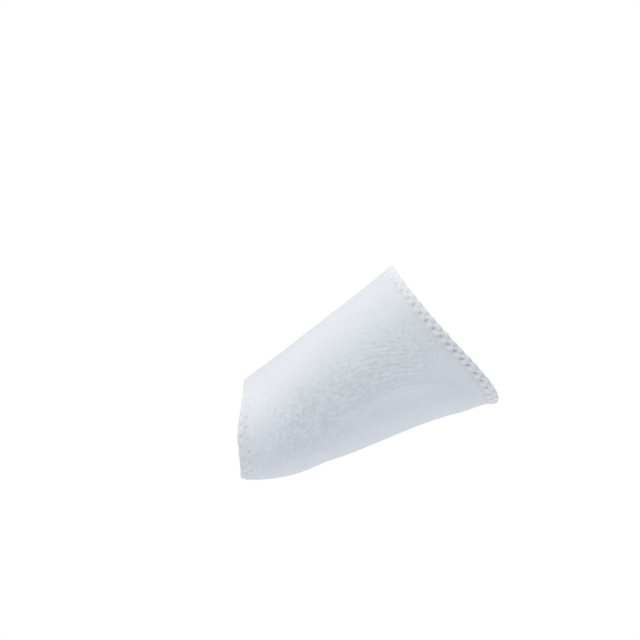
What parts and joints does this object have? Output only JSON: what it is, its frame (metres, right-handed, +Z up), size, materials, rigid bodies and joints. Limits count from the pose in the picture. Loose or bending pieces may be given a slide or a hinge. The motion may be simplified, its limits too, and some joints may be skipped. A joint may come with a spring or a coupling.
{
  "type": "arch support sleeve",
  "caption": "Open knitted sleeve for the middle of a foot, shaped as worn, with a turned hem at each end and a pad under the arch.",
  "frame": {"origin": "where the ball of the foot bears on the sleeve, at the lowest point of the cloth", "axes": "+X from the toes to the heel, -Y to the inner (big toe) side of a right foot, +Z up from the ground that the foot would stand on"},
  "size_m": [0.1239, 0.0906, 0.0839],
  "materials": {
    "knit": "matt cool white knit with fine lengthwise ribs",
    "hem": "matt cool white turned edge with zigzag stitching",
    "pad": "matt off-white soft pad with a cloth face"
  },
  "bodies": {
    "root": {"knit_sleeve": "knit", "toe_hem": "hem", "ankle_hem": "hem", "arch_pad": "pad"}
  },
  "joints": []
}
